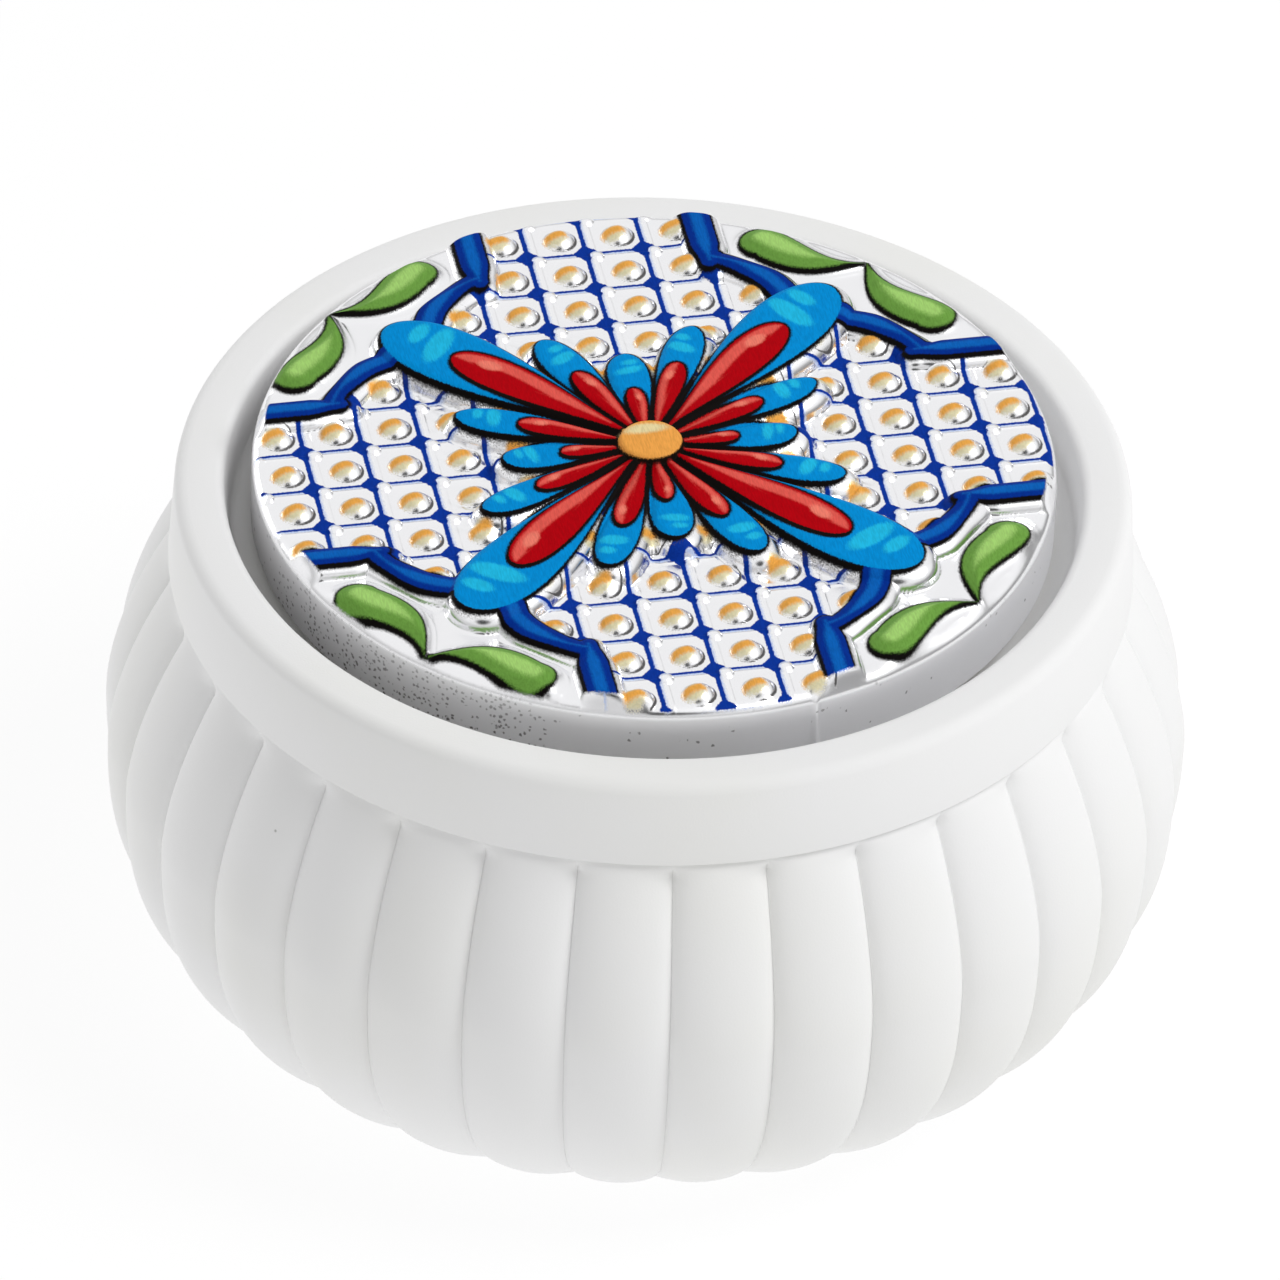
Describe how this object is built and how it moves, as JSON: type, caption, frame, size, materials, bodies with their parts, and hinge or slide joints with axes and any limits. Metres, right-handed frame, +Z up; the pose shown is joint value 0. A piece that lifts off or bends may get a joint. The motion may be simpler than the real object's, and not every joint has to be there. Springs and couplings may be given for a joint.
{
  "type": "round box",
  "caption": "Round-bellied ribbed porcelain keepsake box with a lift-off lid that carries an embossed, printed silver plaque.",
  "frame": {"origin": "centre of the foot, on the plane it stands on", "axes": "+Z up along the box's axis, towards the lid; -Y is the front that the picture shows"},
  "size_m": [0.0836, 0.0836, 0.0495],
  "materials": {
    "porcelain": "matt, unglazed bisque",
    "silver_print": "bright silver sheet, pressed into relief and printed in colours",
    "resin": "cast filler",
    "foam_tape": "white foam tape"
  },
  "bodies": {
    "bowl_body": {"bowl": "porcelain"},
    "lid_body": {"lid": "porcelain", "foam_tape_disc": "foam_tape", "plaque_core": "resin", "plaque_skin": "silver_print"}
  },
  "joints": [
    {"name": "lid_lift", "type": "slide", "parent": "bowl_body", "child": "lid_body", "axis": [0, 0, 1], "range_m": [0, 0.03]}
  ]
}
